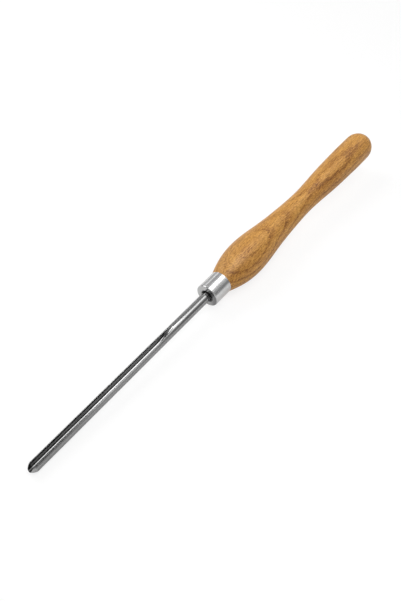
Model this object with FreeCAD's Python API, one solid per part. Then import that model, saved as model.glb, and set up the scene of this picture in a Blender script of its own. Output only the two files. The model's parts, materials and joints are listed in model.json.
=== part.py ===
import FreeCAD, Part
import math
import os
from FreeCAD import Placement, Rotation, Vector

# A bowl gouge: a round bar of tool steel with a deep flute milled along its top and a ground cutting tip,
# glued into a turned wooden handle through a metal ferrule.
# All lengths are in millimetres.
# The tool is drawn along its own axis first: x runs back from the cutting tip to the butt of the handle,
# y runs across, and z points out of the open side of the flute.
# At the end the whole tool is laid down as it comes to rest: flute up, the tip and the bulge of the handle
# on the floor, and the tip towards +X.

# Blade: the round bar
BAR_RADIUS = 5.0
BLADE_REACH = 225.0
TANG_RADIUS = 4.8
TANG_DEPTH = 75.0
TANG_CHAMFER = 0.8
TANG_SHOULDER_INSIDE = 0.2

# Blade: the ground tip, a convex bevel all the way round the bar
NOSE_RADIUS = 0.9
BEVEL_LENGTH = 4.9
BEVEL_BULGE = 0.5

# Blade: the flute
FLUTE_FLOOR_RADIUS = 2.2
FLUTE_BELOW_AXIS = 1.0
FLUTE_FLARE_DEG = 12.0
FLUTE_END = 174.0
FLUTE_CUTTER_RADIUS = 55.0
PAST_THE_BAR_DEG = 5.0
LIP_ROUND = 0.15

# How near an edge of the cut bar has to lie to where the lips are, to count as one of them
LIP_PLACE_ALLOWANCE = 0.01
LIP_RADIUS_ALLOWANCE = 0.02
SHORTEST_LIP = 1.0

# Ferrule: a turned cap with a front wall
FERRULE_RADIUS = 12.15
FERRULE_LENGTH = 23.0
FERRULE_WALL = 1.3
FERRULE_FRONT_WALL = 2.2
FERRULE_FRONT_ROUND = 0.9
FERRULE_REAR_CHAMFER = 0.25
FERRULE_HOLE_GAP = 0.1
FERRULE_SINK = 1.0

# Handle: bulge behind the ferrule, waist, grip swell and rounded butt
HANDLE_LENGTH = 293.0
BULGE_RADIUS = 20.15
BULGE_PLACE = 0.147
WAIST_RADIUS = 12.9
WAIST_PLACE = 0.519
SWELL_RADIUS = 17.05
BUTT_ROUND = 18.0
SHOULDER_SLOPE_DEG = 18.0

# Stations between those, each as a share of the way along and a share of the change in radius
NECK_STATIONS = ((0.28, 0.48), (0.58, 0.84))
BACK_STATIONS = ((0.165, 0.145), (0.376, 0.51), (0.651, 0.821))
GRIP_STATIONS = ((0.244, 0.361), (0.455, 0.711), (0.715, 0.928))
TENON_CHAMFER = 0.6

# Where the turned surface of the handle closes on itself: at the side, clear of the floor and of the top
SEAM_TURN_DEG = 90.0

# Fits
GLUE_GAP = 0.05
BORE_SPARE = 1.5
DRILL_POINT_DEG = 118.0
DRILL_START_AHEAD = 1.0

# Places along the tool that follow from the sizes above
BAR_LENGTH = BLADE_REACH + TANG_DEPTH
FERRULE_FRONT = BLADE_REACH
FERRULE_REAR = FERRULE_FRONT + FERRULE_LENGTH
TENON_FRONT = FERRULE_FRONT + FERRULE_FRONT_WALL + GLUE_GAP
BUTT = FERRULE_REAR + HANDLE_LENGTH
BULGE_AT = FERRULE_REAR + HANDLE_LENGTH * BULGE_PLACE
WAIST_AT = FERRULE_REAR + HANDLE_LENGTH * WAIST_PLACE
SWELL_AT = BUTT - BUTT_ROUND
FERRULE_BORE = FERRULE_RADIUS - FERRULE_WALL
TENON_RADIUS = FERRULE_BORE - GLUE_GAP
FERRULE_HOLE = TANG_RADIUS + FERRULE_HOLE_GAP
HANDLE_BORE = TANG_RADIUS + GLUE_GAP
TANG_SHOULDER = FERRULE_FRONT + TANG_SHOULDER_INSIDE
FLUTE_DEPTH = BAR_RADIUS + FLUTE_BELOW_AXIS
RUN_OUT = math.sqrt(FLUTE_CUTTER_RADIUS ** 2 - (FLUTE_CUTTER_RADIUS - FLUTE_DEPTH) ** 2)
STRAIGHT_END = FLUTE_END - RUN_OUT

# How finely the handle's outline is searched for the point that touches the floor
OUTLINE_STEPS = 2000

X_AXIS = Vector(1, 0, 0)
Y_AXIS = Vector(0, 1, 0)
Z_AXIS = Vector(0, 0, 1)
HERE = Vector(0, 0, 0)


def at(x, radius):
    """A point of an outline drawn in the plane of the tool's axis."""
    return Vector(x, 0, radius)


def line(start, end):
    return Part.LineSegment(start, end).toShape()


def turned(edges):
    """The solid that an outline gives when it turns once round the tool's axis."""
    return Part.Face(Part.Wire(edges)).revolve(HERE, X_AXIS, 360.0)


def bevel_arc():
    """The convex outline of the ground tip, from the nose back to the full bar."""
    start = at(0, NOSE_RADIUS)
    end = at(BEVEL_LENGTH, BAR_RADIUS)
    chord = end.sub(start)
    outward = Vector(-chord.z, 0, chord.x).normalize()
    middle = start.add(chord.multiply(0.5)).add(outward.multiply(BEVEL_BULGE))
    return Part.Arc(start, middle, end).toShape()


def bar():
    """The round bar with its ground tip in front and, behind, a tang turned down for the glue."""
    tang_end = TANG_RADIUS - TANG_CHAMFER
    tang_chamfer_at = BAR_LENGTH - TANG_CHAMFER
    edges = [
        line(at(0, 0), at(0, NOSE_RADIUS)),
        bevel_arc(),
        line(at(BEVEL_LENGTH, BAR_RADIUS), at(STRAIGHT_END, BAR_RADIUS)),
        line(at(STRAIGHT_END, BAR_RADIUS), at(TANG_SHOULDER, BAR_RADIUS)),
        line(at(TANG_SHOULDER, BAR_RADIUS), at(TANG_SHOULDER, TANG_RADIUS)),
        line(at(TANG_SHOULDER, TANG_RADIUS), at(tang_chamfer_at, TANG_RADIUS)),
        line(at(tang_chamfer_at, TANG_RADIUS), at(BAR_LENGTH, tang_end)),
        line(at(BAR_LENGTH, tang_end), at(BAR_LENGTH, 0)),
        line(at(BAR_LENGTH, 0), at(0, 0)),
    ]
    return turned(edges)


def flute_profile(x):
    """The shape of the flute across the bar: a round floor and two walls that flare to above the bar."""
    flare = math.radians(FLUTE_FLARE_DEG)
    centre_z = FLUTE_FLOOR_RADIUS - FLUTE_BELOW_AXIS
    foot_y = FLUTE_FLOOR_RADIUS * math.cos(flare)
    foot_z = centre_z - FLUTE_FLOOR_RADIUS * math.sin(flare)
    top_z = 2 * BAR_RADIUS
    top_y = foot_y + (top_z - foot_z) * math.tan(flare)
    left_foot = Vector(x, -foot_y, foot_z)
    right_foot = Vector(x, foot_y, foot_z)
    floor = Part.Arc(left_foot, Vector(x, 0, -FLUTE_BELOW_AXIS), right_foot).toShape()
    left_top = Vector(x, -top_y, top_z)
    right_top = Vector(x, top_y, top_z)
    edges = [floor, line(right_foot, right_top), line(right_top, left_top), line(left_top, left_foot)]
    return Part.Face(Part.Wire(edges))


def flute():
    """What the milling cutter takes away: a straight groove that sweeps up out of the bar at its end."""
    ahead = BAR_RADIUS
    groove = flute_profile(-ahead).extrude(Vector(STRAIGHT_END + ahead, 0, 0))
    cutter_axis = Vector(STRAIGHT_END, 0, FLUTE_CUTTER_RADIUS - FLUTE_BELOW_AXIS)
    sweep_deg = math.degrees(math.asin(RUN_OUT / FLUTE_CUTTER_RADIUS)) + PAST_THE_BAR_DEG
    sweep = flute_profile(STRAIGHT_END).revolve(cutter_axis, Y_AXIS.negative(), sweep_deg)
    return groove.fuse(sweep)


def is_lip(edge):
    """True for an edge where the flute meets the round outside of the bar."""
    box = edge.BoundBox
    behind_tip = box.XMin > BEVEL_LENGTH - LIP_PLACE_ALLOWANCE
    ahead_of_ferrule = box.XMax < FLUTE_END + LIP_PLACE_ALLOWANCE
    if not (behind_tip and ahead_of_ferrule):
        return False
    middle = edge.valueAt((edge.FirstParameter + edge.LastParameter) / 2)
    radius = math.hypot(middle.y, middle.z)
    on_outside = abs(radius - BAR_RADIUS) < LIP_RADIUS_ALLOWANCE
    return on_outside and middle.z > 0 and edge.Length > SHORTEST_LIP


def blade():
    fluted = bar().cut(flute())
    lips = [edge for edge in fluted.Edges if is_lip(edge)]
    return fluted.makeFillet(LIP_ROUND, lips)


def ferrule():
    """A cup with a rounded front edge, a countersunk hole for the bar and an open rear end."""
    front = FERRULE_FRONT
    rear = FERRULE_REAR
    corner = FERRULE_FRONT_ROUND
    corner_middle = corner * (1 - math.cos(math.radians(45)))
    inner_front = front + FERRULE_FRONT_WALL
    hole_front = FERRULE_HOLE + FERRULE_SINK
    chamfer = FERRULE_REAR_CHAMFER
    edges = [
        line(at(front, hole_front), at(front, FERRULE_RADIUS - corner)),
        Part.Arc(
            at(front, FERRULE_RADIUS - corner),
            at(front + corner_middle, FERRULE_RADIUS - corner_middle),
            at(front + corner, FERRULE_RADIUS),
        ).toShape(),
        line(at(front + corner, FERRULE_RADIUS), at(rear - chamfer, FERRULE_RADIUS)),
        line(at(rear - chamfer, FERRULE_RADIUS), at(rear, FERRULE_RADIUS - chamfer)),
        line(at(rear, FERRULE_RADIUS - chamfer), at(rear, FERRULE_BORE)),
        line(at(rear, FERRULE_BORE), at(inner_front, FERRULE_BORE)),
        line(at(inner_front, FERRULE_BORE), at(inner_front, FERRULE_HOLE)),
        line(at(inner_front, FERRULE_HOLE), at(front + FERRULE_SINK, FERRULE_HOLE)),
        line(at(front + FERRULE_SINK, FERRULE_HOLE), at(front, hole_front)),
    ]
    return turned(edges)


def between(start, end, stations):
    """The points of the outline that lie between two of its main points."""
    points = []
    for way, change in stations:
        x = start.x + (end.x - start.x) * way
        radius = start.z + (end.z - start.z) * change
        points.append(at(x, radius))
    return points


def handle_curve():
    """The outside of the handle: shoulder, bulge, waist and grip swell, as one smooth curve."""
    shoulder = at(FERRULE_REAR, FERRULE_RADIUS)
    bulge = at(BULGE_AT, BULGE_RADIUS)
    waist = at(WAIST_AT, WAIST_RADIUS)
    swell = at(SWELL_AT, SWELL_RADIUS)
    points = [shoulder]
    points += between(shoulder, bulge, NECK_STATIONS)
    points += [bulge]
    points += between(bulge, waist, BACK_STATIONS)
    points += [waist]
    points += between(waist, swell, GRIP_STATIONS)
    points += [swell]
    slope = math.radians(SHOULDER_SLOPE_DEG)
    curve = Part.BSplineCurve()
    curve.interpolate(
        Points=points,
        InitialTangent=Vector(math.cos(slope), 0, math.sin(slope)),
        FinalTangent=X_AXIS,
    )
    return curve


def butt_curve():
    """The rounded end: a quarter of an ellipse from the grip swell to the end of the axis."""
    centre = at(SWELL_AT, 0)
    pole = at(BUTT, 0)
    rim = at(SWELL_AT, SWELL_RADIUS)
    longest_first = (pole, rim) if BUTT_ROUND >= SWELL_RADIUS else (rim, pole)
    ellipse = Part.Ellipse(longest_first[0], longest_first[1], centre)
    return Part.ArcOfEllipse(ellipse, 0, math.pi / 2).toShape()


def drill():
    """The hole drilled for the tang, with the cone that a drill leaves at the bottom."""
    start = TENON_FRONT - DRILL_START_AHEAD
    end = BAR_LENGTH + BORE_SPARE
    cone = HANDLE_BORE / math.tan(math.radians(DRILL_POINT_DEG / 2))
    edges = [
        line(at(start, 0), at(start, HANDLE_BORE)),
        line(at(start, HANDLE_BORE), at(end, HANDLE_BORE)),
        line(at(end, HANDLE_BORE), at(end + cone, 0)),
        line(at(end + cone, 0), at(start, 0)),
    ]
    return turned(edges)


def handle():
    """One piece of turned wood: a tenon inside the ferrule, the grip behind it and the bore for the tang."""
    tenon_end = TENON_RADIUS - TENON_CHAMFER
    shoulder = FERRULE_REAR
    edges = [
        line(at(TENON_FRONT, 0), at(TENON_FRONT, tenon_end)),
        line(at(TENON_FRONT, tenon_end), at(TENON_FRONT + TENON_CHAMFER, TENON_RADIUS)),
        line(at(TENON_FRONT + TENON_CHAMFER, TENON_RADIUS), at(shoulder, TENON_RADIUS)),
        line(at(shoulder, TENON_RADIUS), at(shoulder, FERRULE_RADIUS)),
        handle_curve().toShape(),
        butt_curve(),
        line(at(BUTT, 0), at(TENON_FRONT, 0)),
    ]
    wood = turned(edges).cut(drill())
    return wood.rotated(HERE, X_AXIS, SEAM_TURN_DEG)


def resting_tilt():
    """The slope of the tool on a floor, in radians: from the heel of the bevel to where the bulge touches."""
    curve = handle_curve()
    span = curve.LastParameter - curve.FirstParameter
    best = 0.0
    for i in range(OUTLINE_STEPS + 1):
        point = curve.value(curve.FirstParameter + span * i / OUTLINE_STEPS)
        best = max(best, math.atan2(point.z - BAR_RADIUS, point.x - BEVEL_LENGTH))
    return best


def laid_down():
    """Turns the tip to +X, lowers it to the floor and centres the tool over the origin."""
    tilt = resting_tilt()
    turn = Rotation(Y_AXIS, math.degrees(tilt)).multiply(Rotation(Z_AXIS, 180))
    heel_height = BAR_RADIUS * math.cos(tilt) - BEVEL_LENGTH * math.sin(tilt)
    return Placement(Vector(BUTT * math.cos(tilt) / 2, 0, heel_height), turn)


os.makedirs("parts", exist_ok=True)
rest = laid_down()
pieces = {"blade": blade(), "ferrule": ferrule(), "handle": handle()}
for name, solid in pieces.items():
    solid.transformed(rest.toMatrix()).exportStep("parts/" + name + ".step")
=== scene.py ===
import json
import math

import bpy
from mathutils import Matrix, Vector

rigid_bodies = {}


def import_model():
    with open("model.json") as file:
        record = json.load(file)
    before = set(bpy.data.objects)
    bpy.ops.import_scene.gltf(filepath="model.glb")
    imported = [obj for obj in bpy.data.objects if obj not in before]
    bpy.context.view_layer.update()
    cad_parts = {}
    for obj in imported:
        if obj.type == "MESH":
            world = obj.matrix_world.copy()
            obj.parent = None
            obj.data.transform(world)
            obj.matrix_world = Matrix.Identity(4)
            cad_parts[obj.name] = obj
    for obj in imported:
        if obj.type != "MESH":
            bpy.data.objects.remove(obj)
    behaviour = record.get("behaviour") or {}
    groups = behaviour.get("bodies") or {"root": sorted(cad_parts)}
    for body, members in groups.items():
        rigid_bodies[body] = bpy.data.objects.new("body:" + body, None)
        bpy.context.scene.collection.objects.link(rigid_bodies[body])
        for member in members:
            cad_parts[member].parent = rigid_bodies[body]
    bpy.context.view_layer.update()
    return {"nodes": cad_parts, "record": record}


# A bowl gouge: a ground and polished steel bar with a flute, a polished metal ferrule and an oiled wooden
# handle. Places in the studio are in metres, in the part's own frame. Places in the materials are in
# millimetres from the tip: x is below nought towards the butt, y is across and z is up out of the flute.
# A pair such as (low, high) is a soft step: nought at the first value and one at the second.

# Camera: where it stands, how far it looks down and which way it is turned
CAMERA_PLACE = (0.35912, 0.23864, 0.42753)
LOOKS_DOWN_DEG = 46.6
HEADING = (-0.7861, -0.6182)
LENS_MM = 35.4
SENSOR_MM = 36.0
SHIFT_X = 0.00035
SHIFT_Y = -0.00035

# Floor: how pale it is lit, and how much it glows where it is seen, far out and where the metal mirrors it
FLOOR_SIZE = 12.0
FLOOR_BELOW = 0.00005
FLOOR_GREY = 0.86
FLOOR_GREY_SEEN = 0.20
FLOOR_GLOW_SEEN = 0.82
FLOOR_GLOW_FAR = 0.14
FLOOR_FAR = (0.5, 2.0)
FLOOR_GLOW_MIRRORED = 0.10

# Lamps that light the tool: place, width, length and power
LAMPS = {
    "key_lamp": ((-0.05, 0.33, 0.96), 0.9, 0.7, 6.3),
    "fill_lamp": ((-0.05, -0.93, 0.78), 0.8, 0.8, 8.4),
}

# Softboxes that the metal mirrors: the middle, the size along x and y and the brightness
BOX_HEIGHT = 1.0
MIRRORED_BOXES = {
    "softbox_over_the_handle": ((-0.790, 0.080), (0.63, 0.44), 3.1),
    "softbox_beside_the_handle": ((-1.050, -1.420), (0.45, 0.40), 1.12),
    "softbox_over_the_shank": ((-0.402, 0.580), (0.145, 0.92), 2.3),
    "softbox_over_the_flute": ((-0.165, 0.070), (0.33, 0.50), 7.6),
    "softbox_beside_the_flute": ((-0.400, -1.100), (0.24, 0.36), 2.4),
    "softbox_over_the_tip": ((0.080, 0.430), (0.16, 0.52), 4.8),
    "softbox_in_front": ((0.600, -1.300), (0.74, 1.20), 8.0),
}

# The room: what the metal mirrors from side to side, by the angle from straight up in degrees, and how many
# degrees that pattern shifts, past the turn step, with the direction along the tool
ROOM_MIRRORED = (
    (-90, 0.64), (-80, 0.59), (-68, 0.78), (-55, 0.74), (-42, 0.545), (-30, 0.545), (-20, 0.70), (20, 1.08),
    (30, 0.775), (39, 0.61), (49, 0.535), (57, 0.40), (67, 0.19), (75, 0.305), (85, 0.625), (90, 0.655),
)
ROOM_SCALE = 1.2
ROOM_TURN_DEG = 60.0
ROOM_TURN_STEP = (20, 50)

# The light that the room sends to matt surfaces, and how much less of it comes from the +Y side
ROOM_DIFFUSE = 0.28
ROOM_SIDE = 0.024

# A dark wall, dark gaps that only the blade's front part mirrors, and a bright window that its middle
# mirrors, each by its strength, its angles from straight up and the direction along the tool
DARK_WALL = 0.65
DARK_WALL_ANGLE = (-2, -22)
DARK_WALL_ALONG = (-0.43, -0.33)
DARK_GAP = 0.70
DARK_GAP_ANGLE = ((28, 36), (72, 60))
DARK_GAP_LOW_ANGLE = (-14, -22)
DARK_GAP_ALONG = (-0.27, -0.19)
WINDOW = 1.28
WINDOW_ANGLE = ((40, 50), (76, 66))
WINDOW_ALONG = ((-0.40, -0.37), (-0.20, -0.27))

# The blade's ground bevel: its length, its heel, its radius at the nose and how it widens towards the bar
BEVEL_LENGTH = 4.9
BEVEL_HEEL = (-5.2, -4.8)
NOSE_RADIUS = 0.9
BEVEL_RISE = 6.7
BEVEL_CURVE = 2.6

# The flute: how far inside the bar's surface it begins, and how much darker than the bar it is, partly a
# duller finish and partly painted shade in the hollow, with more painted shade at the foot of its walls away
# from the tip and at the nose, and less of it near the lips
FLUTE_INSIDE = (0.10, 0.20)
FLUTE_DULL_AND_SHADE = 0.26
FLUTE_FOOT_PAINTED_SHADE = 0.38
FLUTE_FOOT = ((0.2, 0.9), (2.4, 1.6))
FLUTE_FOOT_ALONG = (-15.0, -90.0)
FLUTE_LIPS_LESS_SHADE = 0.22
FLUTE_LIPS = (1.8, 2.8)
NOSE_PAINTED_SHADE = 0.60
NOSE_STEP = (-5.5, -3.5)

# Steel finish: noise in cycles per millimetre along and across the tool, the darkest and lightest shade that
# it gives, and how rough the steel is, with what the marks and the bevel add
BLADE_GREY = (0.270, 0.270, 0.270)
BAR_RINGS = (9.0, 0.25)
FLUTE_LINES = (0.06, 7.0)
MARK_SHADES = (0.93, 1.05)
BLADE_CLOUD = (0.05, 0.22)
BLADE_CLOUD_SHADES = (0.90, 1.08)
STEEL_ROUGH = 0.10
MARKS_ROUGH = 0.10
BEVEL_ROUGH = 0.10
BEVEL_PALER = 1.5
BEVEL_SHARE = 0.75
STEEL_RELIEF = 0.35
MARK_DEPTH = 0.002

# The ferrule: its front, how deep its front face is and where its rounded rim begins
FERRULE_FRONT = -225.0
BAR_END = (FERRULE_FRONT - 1.0, FERRULE_FRONT + 1.0)
FRONT_FACE = (FERRULE_FRONT - 0.45, FERRULE_FRONT - 0.15)
FRONT_RIM = (11.9, 11.5)

# Painted shade in a ring round the bar where it enters the ferrule, by its radius and its middle, a little to
# the side of the axis and above it; and painted shade across the front face, by how dark it is at the two
# ends of a step from side to side
PAINTED_SHADE_RING = (7.1, 6.8)
PAINTED_SHADE_RING_SIDE = 0.3
PAINTED_SHADE_RING_UP = 0.2
PAINTED_SHADE_RING_STRENGTH = 0.85
FRONT_SIDE = (2.0, 10.0)
FRONT_PAINTED_SHADE = (0.20, 0.62)

# Ferrule finish: noise in cycles per millimetre, its shades, and how rough the metal is, with what they add
FERRULE_GREY = (0.580, 0.580, 0.580)
TURNED_RINGS = 8.0
TURNED_RING_SHADES = (0.92, 1.04)
TURNED_BANDS = 0.9
FERRULE_CLOUD = (0.12, 0.12)
FERRULE_CLOUD_SHADES = (0.93, 1.05)
FERRULE_ROUGH = 0.12
RINGS_ROUGH = 0.10
BANDS_ROUGH = 0.06
FERRULE_RELIEF = 0.6

# Wood colours, in linear light
WOOD_DARK = (0.155, 0.052, 0.009)
WOOD_BROWN = (0.325, 0.132, 0.023)
WOOD_HONEY = (0.505, 0.235, 0.043)
WOOD_PALE = (0.650, 0.345, 0.080)
WOOD_COLOURS = ((0.0, WOOD_DARK), (0.33, WOOD_BROWN), (0.66, WOOD_HONEY), (1.0, WOOD_PALE))

# Wood figure: growth rings round a pith below the handle's axis, so that they show as long ovals where the
# handle swells, turned from its top by RINGS_FACE_DEG. A ring ends RING_DEPTH above the axis at the bulge.
# RINGS_RISE says how far the rings rise away from the pith, by the distance behind the bulge. EARLY_WOOD is
# how dark each part of a ring is.
PITH_DISTANCE = 18.0
RING_WIDTH = 3.5
RING_DEPTH = 17.9
BULGE_PLACE = -291.0
RINGS_FACE_DEG = 18.0
RINGS_RISE = (
    (-44, -3.6), (-33, -2.5), (0, 0.0), (28, 0.1), (60, 0.5), (109, 2.0), (120, 2.7), (132, 3.1),
    (161, 4.35), (189, 5.65), (250, 8.5),
)
EARLY_WOOD = ((0.0, 0.05), (0.40, 0.0), (0.66, 0.22), (0.84, 0.90), (0.94, 0.90), (1.0, 0.05))

# How clear the rings are at the two ends of a step round the handle, in degrees from its top
CLEAR_SIDE = (-20.0, 30.0)
CLEAR_RINGS = (0.13, 0.34)

# How the rings wander: noise in cycles per millimetre along and across, detail and size in millimetres
RING_WANDER = ((0.010, 0.035, 1.0, 1.6), (0.050, 0.20, 2.0, 0.8))

# Wood grain: noise in cycles per millimetre along and across, detail, roughness and weight in the tone
WOOD_TONE = 0.71
GRAIN = {
    "streaks": (0.020, 0.12, 3.0, 0.55, 0.38),
    "fine": (0.30, 2.10, 2.0, 0.6, 2.1),
    "fibres": (0.07, 1.20, 2.0, 0.6, 1.40),
    "flecks": (0.14, 0.33, 2.0, 0.6, 0.12),
}
LAYERS_ALONG = 0.012
LAYERS_WEIGHT = 0.40
PORES = (0.24, 1.9)
PORES_OPEN = (0.54, 0.70)
PORES_ELSEWHERE = 0.45
PORES_WEIGHT = -0.38

# How rough the oiled wood is, with what fibres and pores add, and its relief in millimetres
WOOD_ROUGH = 0.36
FIBRES_ROUGH = 0.14
PORES_ROUGH = 0.25
WOOD_RELIEF = 0.5
PORE_DEPTH = 0.08
FINE_HEIGHT = 0.30
WOOD_IOR = 1.45
WOOD_SPECULAR = 0.40

# Darker places in the wood: along the tool, round it from the top, half the length, half the width, strength
DARK_PLACES = (
    (-436.0, 60.0, 42.0, 36.0, 0.13),
    (-262.0, 55.0, 20.0, 34.0, 0.12),
    (-300.0, 66.0, 26.0, 18.0, 0.06),
    (-402.0, 16.0, 9.0, 14.0, 0.06),
)
DARK_PLACE_STEP = (1.25, 0.3)

WHITE = (1.0, 1.0, 1.0)
BLACK = (0.0, 0.0, 0.0)
MM = 0.001


class Nodes:
    """Short ways to add the nodes of one tree and to join them."""

    def __init__(self, tree):
        self.tree = tree
        tree.nodes.clear()

    def add(self, kind, inputs=None, **settings):
        node = self.tree.nodes.new(kind)
        for name, value in settings.items():
            setattr(node, name, value)
        for name, value in (inputs or {}).items():
            self.give(node.inputs[name], value)
        return node

    def give(self, socket, value):
        if isinstance(value, bpy.types.NodeSocket):
            self.tree.links.new(value, socket)
        elif hasattr(value, "__len__") and len(value) == 3 and len(socket.default_value) == 4:
            socket.default_value = (*value, 1.0)
        else:
            socket.default_value = value

    def math(self, operation, a, b=0.0, c=None, clamp=False):
        inputs = {0: a, 1: b} if c is None else {0: a, 1: b, 2: c}
        return self.add("ShaderNodeMath", inputs, operation=operation, use_clamp=clamp).outputs[0]

    def times(self, a, b):
        return self.math("MULTIPLY", a, b)

    def times_add(self, a, b, c, clamp=False):
        return self.math("MULTIPLY_ADD", a, b, c, clamp)

    def length(self, a, b):
        return self.math("SQRT", self.math("ADD", self.times(a, a), self.times(b, b)))

    def span(self, value, low, high, to_low=0.0, to_high=1.0):
        """The value, taken smoothly from one span to another and held at both ends."""
        inputs = {"Value": value, "From Min": low, "From Max": high, "To Min": to_low, "To Max": to_high}
        return self.add("ShaderNodeMapRange", inputs, interpolation_type="SMOOTHSTEP").outputs[0]

    def band(self, value, rise, fall):
        """One between two soft steps and nought outside them."""
        return self.times(self.span(value, *rise), self.span(value, *fall))

    def blend(self, share, a, b):
        """A number between two others."""
        node = self.add("ShaderNodeMix", data_type="FLOAT", clamp_factor=True)
        for index, value in ((0, share), (2, a), (3, b)):
            self.give(node.inputs[index], value)
        return node.outputs[0]

    def mix(self, share, a, b, blend="MIX"):
        """A colour between two others."""
        node = self.add("ShaderNodeMix", data_type="RGBA", blend_type=blend, clamp_factor=True)
        for index, value in ((0, share), (6, a), (7, b)):
            self.give(node.inputs[index], value)
        return node.outputs[2]

    def stretched(self, vector, along, across):
        """The tool's coordinates, scaled apart along the tool and across it."""
        inputs = {"Vector": vector, "Scale": (along, across, across)}
        return self.add("ShaderNodeMapping", inputs, vector_type="POINT").outputs[0]

    def noise(self, vector, scale=1.0, detail=2.0, roughness=0.5):
        inputs = {"Vector": vector, "Scale": scale, "Detail": detail, "Roughness": roughness}
        return self.add("ShaderNodeTexNoise", inputs, noise_dimensions="3D").outputs[0]

    def ramp(self, share, stops, interpolation="LINEAR"):
        node = self.add("ShaderNodeValToRGB", {"Fac": share})
        band = node.color_ramp
        band.interpolation = interpolation
        while len(band.elements) < len(stops):
            band.elements.new(0.5)
        for element, (place, colour) in zip(band.elements, stops):
            element.position = place
            element.color = (*colour, 1.0) if hasattr(colour, "__len__") else (colour, colour, colour, 1.0)
        return node.outputs[0]

    def around(self, share, colour, dark, light):
        """A colour that varies with a noise between its darker and its lighter form."""
        return self.ramp(share, ((0.25, shaded(colour, dark)), (0.75, shaded(colour, light))))

    def bump(self, height, distance, strength):
        inputs = {"Height": height, "Distance": distance, "Strength": strength}
        return self.add("ShaderNodeBump", inputs).outputs[0]

    def surface(self, **inputs):
        """Ends the tree with one shader. Its inputs' names are written with _ for a blank."""
        named = {name.replace("_", " "): value for name, value in inputs.items()}
        shader = self.add("ShaderNodeBsdfPrincipled", named)
        self.add("ShaderNodeOutputMaterial", {"Surface": shader.outputs[0]})


def shaded(colour, factor):
    return tuple(part * factor for part in colour)


def new_material(name):
    material = bpy.data.materials.new(name)
    material.use_nodes = True
    return material, Nodes(material.node_tree)


def tool_place(n, tip, slope):
    """The place on the tool in millimetres: as one vector, and as x, y and z."""
    inputs = {
        "Vector": n.add("ShaderNodeTexCoord").outputs["Object"],
        "Location": tip,
        "Rotation": (0.0, slope, 0.0),
        "Scale": (MM, MM, MM),
    }
    place = n.add("ShaderNodeMapping", inputs, vector_type="TEXTURE").outputs[0]
    return place, *n.add("ShaderNodeSeparateXYZ", {0: place}).outputs


def inside_flute(n, x, from_axis):
    """One inside the flute: nearer to the axis than the surface of the bevel or the bar at that place."""
    behind = n.math("MULTIPLY", x, -1.0 / BEVEL_LENGTH, clamp=True)
    surface = n.times_add(n.times_add(behind, -BEVEL_CURVE, BEVEL_RISE), behind, NOSE_RADIUS)
    inside = n.span(n.math("SUBTRACT", surface, from_axis), *FLUTE_INSIDE)
    return n.times(inside, n.span(x, *BAR_END))


def steel_material(tip, slope):
    """Ground and polished tool steel: faint rings round the bar, marks along the flute and a ground bevel."""
    material, n = new_material("polished_bar_steel")
    place, x, y, z = tool_place(n, tip, slope)
    in_flute = inside_flute(n, x, n.length(y, z))
    on_bevel = n.times(n.span(x, *BEVEL_HEEL), n.math("SUBTRACT", 1.0, in_flute, clamp=True))

    rings = n.noise(n.stretched(place, *BAR_RINGS), detail=3.0, roughness=0.6)
    lines = n.noise(n.stretched(place, *FLUTE_LINES), detail=3.0, roughness=0.6)
    cloud = n.noise(n.stretched(place, *BLADE_CLOUD), detail=3.0, roughness=0.55)
    marks = n.blend(in_flute, rings, lines)

    shade = n.around(cloud, BLADE_GREY, *BLADE_CLOUD_SHADES)
    colour = n.mix(1.0, shade, n.around(marks, WHITE, *MARK_SHADES), "MULTIPLY")
    # Painted shade in the flute's hollow: a duller finish plus shade, deeper at the foot of its walls, less
    # near the lips
    foot = n.times(n.band(z, *FLUTE_FOOT), n.span(x, *FLUTE_FOOT_ALONG))
    darker = n.times_add(foot, FLUTE_FOOT_PAINTED_SHADE, FLUTE_DULL_AND_SHADE)
    darker = n.times_add(n.span(z, *FLUTE_LIPS), -FLUTE_LIPS_LESS_SHADE, darker)
    colour = n.mix(n.times(in_flute, darker), colour, BLACK)
    # Painted shade at the nose, inside the flute
    nose_shade = n.times(in_flute, n.span(x, *NOSE_STEP))
    colour = n.mix(n.times(nose_shade, NOSE_PAINTED_SHADE), colour, BLACK)
    colour = n.mix(n.times(on_bevel, BEVEL_SHARE), colour, shaded(BLADE_GREY, BEVEL_PALER))

    rough = n.times_add(marks, MARKS_ROUGH, STEEL_ROUGH)
    rough = n.times_add(on_bevel, BEVEL_ROUGH, rough)
    relief = n.bump(marks, MARK_DEPTH * MM, STEEL_RELIEF)
    n.surface(Base_Color=colour, Metallic=1.0, Roughness=rough, Normal=relief)
    return material


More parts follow.
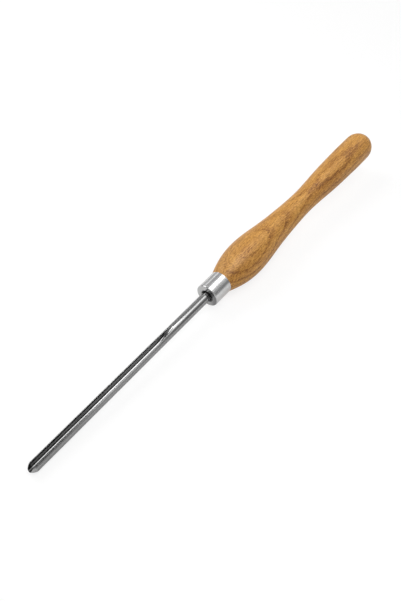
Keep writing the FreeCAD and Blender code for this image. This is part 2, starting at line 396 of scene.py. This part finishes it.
def ferrule_material(tip, slope):
    """Turned, polished metal: fine rings outside and on the front face; painted shade round the bar and on
    the face.
    """
    material, n = new_material("turned_ferrule_metal")
    place, x, y, z = tool_place(n, tip, slope)
    from_axis = n.length(y, z)
    turned = n.add("ShaderNodeCombineXYZ", {0: x, 1: from_axis, 2: 0.0}).outputs[0]
    rings = n.noise(turned, TURNED_RINGS, detail=3.0, roughness=0.65)
    bands = n.noise(turned, TURNED_BANDS, detail=2.0, roughness=0.5)
    cloud = n.noise(n.stretched(place, *FERRULE_CLOUD), detail=3.0, roughness=0.55)

    shade = n.around(cloud, FERRULE_GREY, *FERRULE_CLOUD_SHADES)
    colour = n.mix(1.0, shade, n.around(rings, WHITE, *TURNED_RING_SHADES), "MULTIPLY")
    on_face = n.times(n.span(x, *FRONT_FACE), n.span(from_axis, *FRONT_RIM))
    # Painted shade in a ring round the bar, where it goes into the ferrule's hole
    from_ring = n.length(n.math("SUBTRACT", y, PAINTED_SHADE_RING_SIDE), n.math("SUBTRACT", z, PAINTED_SHADE_RING_UP))
    # Painted shade across the front face, darker towards the +Y side
    face_shade = n.times(on_face, n.span(y, *FRONT_SIDE, *FRONT_PAINTED_SHADE))
    ring_shade = n.times(n.span(from_ring, *PAINTED_SHADE_RING), PAINTED_SHADE_RING_STRENGTH)
    colour = n.mix(n.math("MAXIMUM", face_shade, ring_shade), colour, BLACK)

    rough = n.times_add(rings, RINGS_ROUGH, FERRULE_ROUGH)
    rough = n.times_add(bands, BANDS_ROUGH, rough)
    relief = n.bump(rings, MARK_DEPTH * MM, FERRULE_RELIEF)
    n.surface(Base_Color=colour, Metallic=1.0, Roughness=rough, Normal=relief)
    return material


def ring_phase(n, place, x, y, z):
    """How far through a growth ring a place lies, from nought on the pith side to one where the ring ends,
    and how far outside one chosen ring it lies in millimetres."""
    facing = math.radians(RINGS_FACE_DEG)
    ring_y = n.math("ADD", y, math.sin(facing) * PITH_DISTANCE)
    ring_z = n.math("ADD", z, math.cos(facing) * PITH_DISTANCE)
    from_pith = n.length(ring_y, ring_z)
    for along, across, detail, size in RING_WANDER:
        wander = n.noise(n.stretched(place, along, across), detail=detail)
        from_pith = n.times_add(n.math("SUBTRACT", wander, 0.5), size, from_pith)
    start, lowest = RINGS_RISE[0]
    length, height = RINGS_RISE[-1][0] - start, RINGS_RISE[-1][1] - lowest
    share = n.math("DIVIDE", n.math("SUBTRACT", BULGE_PLACE - start, x), length)
    stops = [((behind - start) / length, (rise - lowest) / height) for behind, rise in RINGS_RISE]
    rise = n.times_add(n.ramp(share, stops, "CARDINAL"), height, lowest)
    outside = n.math("SUBTRACT", n.math("SUBTRACT", from_pith, rise), PITH_DISTANCE + RING_DEPTH)
    return n.math("FRACT", n.math("DIVIDE", outside, RING_WIDTH)), outside


def dark_places(n, x, round_deg):
    """Soft darker patches in the wood."""
    total = 0.0
    for place, angle, half_length, half_width, strength in DARK_PLACES:
        along = n.math("DIVIDE", n.math("SUBTRACT", x, place), half_length)
        around = n.math("DIVIDE", n.math("SUBTRACT", round_deg, angle), half_width)
        patch = n.span(n.length(along, around), *DARK_PLACE_STEP, 0.0, strength)
        total = n.math("ADD", patch, total)
    return total


def wood_material(tip, slope):
    """Oiled ring-porous wood: growth rings cut into long ovals, rows of pores, fibres and streaks."""
    material, n = new_material("oiled_handle_wood")
    place, x, y, z = tool_place(n, tip, slope)
    phase, outside = ring_phase(n, place, x, y, z)
    early = n.ramp(phase, EARLY_WOOD)
    round_deg = n.math("DEGREES", n.math("ARCTAN2", y, z))

    pores = n.span(n.noise(n.stretched(place, *PORES), detail=1.0), *PORES_OPEN)
    pores = n.times(pores, n.times_add(early, 1.0 - PORES_ELSEWHERE, PORES_ELSEWHERE))
    layer_place = n.add("ShaderNodeCombineXYZ", {0: outside, 1: n.times(x, LAYERS_ALONG), 2: 0.0})
    layers = n.noise(layer_place.outputs[0], detail=2.0, roughness=0.65)

    tone = WOOD_TONE
    grain = {}
    for name, (along, across, detail, roughness, weight) in GRAIN.items():
        grain[name] = n.noise(n.stretched(place, along, across), detail=detail, roughness=roughness)
        tone = n.times_add(n.math("SUBTRACT", grain[name], 0.5), weight, tone)
    tone = n.times_add(n.math("SUBTRACT", layers, 0.5), LAYERS_WEIGHT, tone)
    tone = n.math("SUBTRACT", tone, n.times(early, n.span(round_deg, *CLEAR_SIDE, *CLEAR_RINGS)))
    tone = n.math("SUBTRACT", tone, dark_places(n, x, round_deg))
    tone = n.times_add(pores, PORES_WEIGHT, tone, clamp=True)
    colour = n.ramp(tone, WOOD_COLOURS)

    rough = n.times_add(grain["fibres"], FIBRES_ROUGH, WOOD_ROUGH)
    rough = n.times_add(pores, PORES_ROUGH, rough)
    height = n.times_add(pores, -1.0, n.times(grain["fine"], FINE_HEIGHT))
    relief = n.bump(height, PORE_DEPTH * MM, WOOD_RELIEF)
    n.surface(
        Base_Color=colour,
        Roughness=rough,
        IOR=WOOD_IOR,
        Specular_IOR_Level=WOOD_SPECULAR,
        Normal=relief,
    )
    return material


def shown_white(n, path):
    """One for rays that show the background: from the camera, or mirrored or let through by the object."""
    seen = n.math("MAXIMUM", path.outputs["Is Camera Ray"], path.outputs["Is Glossy Ray"])
    return n.math("MAXIMUM", seen, path.outputs["Is Transmission Ray"])


def floor():
    """A wide pale floor under the tool. It keeps the tool's faint shadow and shows white round it."""
    bpy.ops.mesh.primitive_plane_add(size=FLOOR_SIZE, location=(0, 0, -FLOOR_BELOW))
    plane = bpy.context.object
    plane.name = "studio_floor"
    material, n = new_material("pale_floor")
    path = n.add("ShaderNodeLightPath")
    camera_ray = path.outputs["Is Camera Ray"]
    grey = n.times_add(camera_ray, FLOOR_GREY_SEEN - FLOOR_GREY, FLOOR_GREY)
    colour = n.add("ShaderNodeCombineXYZ", {0: grey, 1: grey, 2: grey}).outputs[0]
    glow = n.times_add(camera_ray, FLOOR_GLOW_SEEN - FLOOR_GLOW_MIRRORED, FLOOR_GLOW_MIRRORED)
    place = n.add("ShaderNodeTexCoord").outputs["Object"]
    from_middle = n.add("ShaderNodeVectorMath", {0: place}, operation="LENGTH").outputs["Value"]
    glow = n.times_add(camera_ray, n.span(from_middle, *FLOOR_FAR, 0.0, FLOOR_GLOW_FAR), glow)
    glow = n.times(shown_white(n, path), glow)
    matt = n.add("ShaderNodeBsdfDiffuse", {"Color": colour})
    lit = n.add("ShaderNodeEmission", {"Strength": glow})
    both = n.add("ShaderNodeAddShader", {0: matt.outputs[0], 1: lit.outputs[0]})
    n.add("ShaderNodeOutputMaterial", {"Surface": both.outputs[0]})
    plane.data.materials.append(material)


def lamp(name, place, width, length, power):
    """A soft lamp turned to the middle of the floor."""
    data = bpy.data.lights.new(name, "AREA")
    data.shape = "RECTANGLE"
    data.size, data.size_y = width, length
    data.energy = power
    thing = bpy.data.objects.new(name, data)
    thing.location = place
    thing.rotation_euler = (-Vector(place)).to_track_quat("-Z", "Y").to_euler()
    bpy.context.scene.collection.objects.link(thing)
    return thing


def lights():
    """Two soft lamps light the tool, and softboxes that face straight down show in its metal."""
    for name, (place, width, length, power) in LAMPS.items():
        thing = lamp(name, place, width, length, power)
        thing.visible_glossy = False
    for name, ((x, y), (width, length), bright) in MIRRORED_BOXES.items():
        thing = lamp(name, (x, y, BOX_HEIGHT), width, length, bright * math.pi * width * length)
        thing.rotation_euler = (0.0, 0.0, 0.0)
        thing.visible_diffuse = False


def mirrored_room(n, along, across, up):
    """How bright the metal sees the room in one direction: pale walls, darker gaps and a bright window."""
    angle = n.math("DEGREES", n.math("ARCTAN2", across, up))
    turn = n.times_add(along, ROOM_TURN_DEG, 0.5 * ROOM_TURN_DEG)
    turn = n.times(turn, n.span(angle, *ROOM_TURN_STEP))
    share = n.times_add(n.math("ADD", angle, turn), 1 / 180, 0.5, clamp=True)
    stops = [((deg + 90) / 180, value / ROOM_SCALE) for deg, value in ROOM_MIRRORED]
    walls = n.times(n.ramp(share, stops), ROOM_SCALE)
    dark_wall = n.times(n.span(along, *DARK_WALL_ALONG), n.span(angle, *DARK_WALL_ANGLE))
    walls = n.times(walls, n.times_add(dark_wall, -DARK_WALL, 1.0))
    gaps = n.math("ADD", n.band(angle, *DARK_GAP_ANGLE), n.span(angle, *DARK_GAP_LOW_ANGLE))
    dark_gaps = n.times(n.span(along, *DARK_GAP_ALONG), gaps)
    walls = n.times(walls, n.times_add(dark_gaps, -DARK_GAP, 1.0))
    window = n.times(n.band(angle, *WINDOW_ANGLE), n.band(along, *WINDOW_ALONG))
    return n.times_add(window, WINDOW, walls)


def room():
    """The studio round the tool: white to the camera, and a patterned room where the metal mirrors it."""
    world = bpy.data.worlds.new("studio")
    bpy.context.scene.world = world
    world.use_nodes = True
    n = Nodes(world.node_tree)
    path = n.add("ShaderNodeLightPath")
    direction = n.add("ShaderNodeSeparateXYZ", {0: n.add("ShaderNodeTexCoord").outputs["Generated"]})
    along, across, up = direction.outputs
    mirrored = mirrored_room(n, along, across, up)
    diffuse = n.times_add(across, -ROOM_SIDE, ROOM_DIFFUSE)
    strength = n.times_add(path.outputs["Is Glossy Ray"], n.math("SUBTRACT", mirrored, diffuse), diffuse)
    strength = n.times_add(path.outputs["Is Camera Ray"], n.math("SUBTRACT", 1.0, strength), strength)
    background = n.add("ShaderNodeBackground", {"Color": WHITE, "Strength": strength})
    n.add("ShaderNodeOutputWorld", {"Surface": background.outputs[0]})


def camera():
    down = math.radians(LOOKS_DOWN_DEG)
    heading = Vector((*HEADING, 0.0)).normalized()
    forward = heading * math.cos(down) + Vector((0, 0, -math.sin(down)))
    up = heading * math.sin(down) + Vector((0, 0, math.cos(down)))
    right = forward.cross(up)
    data = bpy.data.cameras.new("camera")
    data.lens = LENS_MM
    data.sensor_width = SENSOR_MM
    data.sensor_fit = "AUTO"
    data.shift_x = SHIFT_X
    data.shift_y = SHIFT_Y
    data.clip_start = 0.01
    data.clip_end = 50.0
    eye = bpy.data.objects.new("camera", data)
    turn = Matrix((right, up, -forward)).transposed()
    eye.matrix_world = Matrix.Translation(CAMERA_PLACE) @ turn.to_4x4()
    bpy.context.scene.collection.objects.link(eye)
    bpy.context.scene.camera = eye


def dress(frame):
    """Gives each piece its material. The tool's axis comes from the round bar's mount."""
    bar = frame["record"]["mounts"][0]
    axis = Vector(bar["axis"]).normalized()
    slope = math.atan2(-axis.z, axis.x)
    tip = Vector(bar["pos_m"]) + axis * (BEVEL_LENGTH + bar["dims"]["length_mm"] / 2) * MM
    for node, material in (
        ("blade", steel_material(tip, slope)),
        ("ferrule", ferrule_material(tip, slope)),
        ("handle", wood_material(tip, slope)),
    ):
        data = frame["nodes"][node].data
        for i in range(len(data.materials)):
            data.materials[i] = material


for thing in list(bpy.data.objects):
    bpy.data.objects.remove(thing)
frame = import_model()
bpy.context.scene.view_settings.view_transform = "Standard"
dress(frame)
floor()
lights()
room()
camera()
